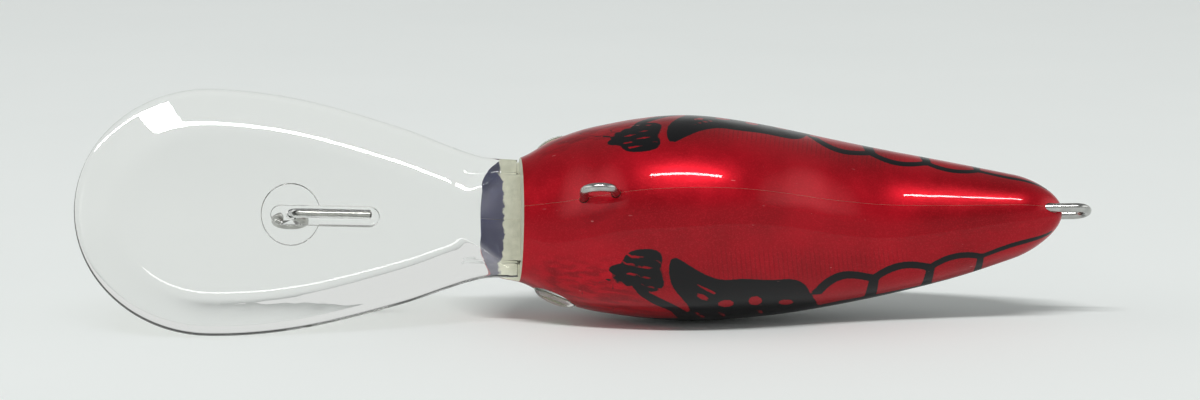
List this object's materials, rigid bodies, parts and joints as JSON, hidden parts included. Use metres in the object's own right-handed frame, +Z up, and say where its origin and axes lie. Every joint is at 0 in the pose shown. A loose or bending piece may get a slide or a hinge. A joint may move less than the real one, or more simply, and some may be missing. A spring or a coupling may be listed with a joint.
{
  "type": "deep-diving crankbait lure",
  "caption": "Deep-diving crankbait lying on its flank: a hollow two-shell body with a long clear diving lip, wire line tie, wire hook hangers, set-in eyes, ballast and a rattle tube.",
  "frame": {"origin": "centre of the lying lure's footprint, on the surface it lies on", "axes": "+X from the lip towards the tail, +Y towards the lure's back and away from a viewer who sees its belly, +Z up; the lure lies on its starboard flank, rolled 26 degrees so that the belly faces up and forward"},
  "size_m": [0.1212, 0.0244, 0.0279],
  "materials": {
    "red_body": "candy red over a bright base, under a clear coat",
    "clear_plastic": "clear polycarbonate, polished",
    "steel_wire": "drawn stainless wire",
    "steel_ball": "polished bearing steel",
    "brass": "turned brass",
    "milky_plastic": "translucent milky tube",
    "iris_foil": "pearl lime foil"
  },
  "bodies": {
    "lure": {"body_shell_port": "red_body", "body_shell_starboard": "red_body", "diving_lip": "clear_plastic", "line_tie": "steel_wire", "lip_pin": "steel_wire", "belly_hook_hanger": "steel_wire", "tail_hook_hanger": "steel_wire", "eye_iris_port": "iris_foil", "eye_dome_port": "clear_plastic", "eye_iris_starboard": "iris_foil", "eye_dome_starboard": "clear_plastic", "rattle_tube": "milky_plastic", "rattle_end_disc_front": "brass", "rattle_end_disc_rear": "brass", "throat_weight": "brass", "ballast_ball_front": "steel_ball", "ballast_ball_rear": "steel_ball"},
    "first_ball": {"rattle_ball_1": "steel_ball"},
    "second_ball": {"rattle_ball_2": "steel_ball"},
    "third_ball": {"rattle_ball_3": "steel_ball"}
  },
  "joints": [
    {"name": "first_ball_slide", "type": "slide", "parent": "lure", "child": "first_ball", "axis": [0.9999, 0, 0.0122], "range_m": [0, 0.0058]},
    {"name": "second_ball_slide", "type": "slide", "parent": "lure", "child": "second_ball", "axis": [0.9999, 0, 0.0122], "range_m": [0, 0.0058]},
    {"name": "third_ball_slide", "type": "slide", "parent": "lure", "child": "third_ball", "axis": [0.9999, 0, 0.0122], "range_m": [0, 0.0058]}
  ],
  "couplings": [
    {"joint": "second_ball_slide", "follows": "first_ball_slide", "ratio": 1},
    {"joint": "third_ball_slide", "follows": "first_ball_slide", "ratio": 1}
  ]
}
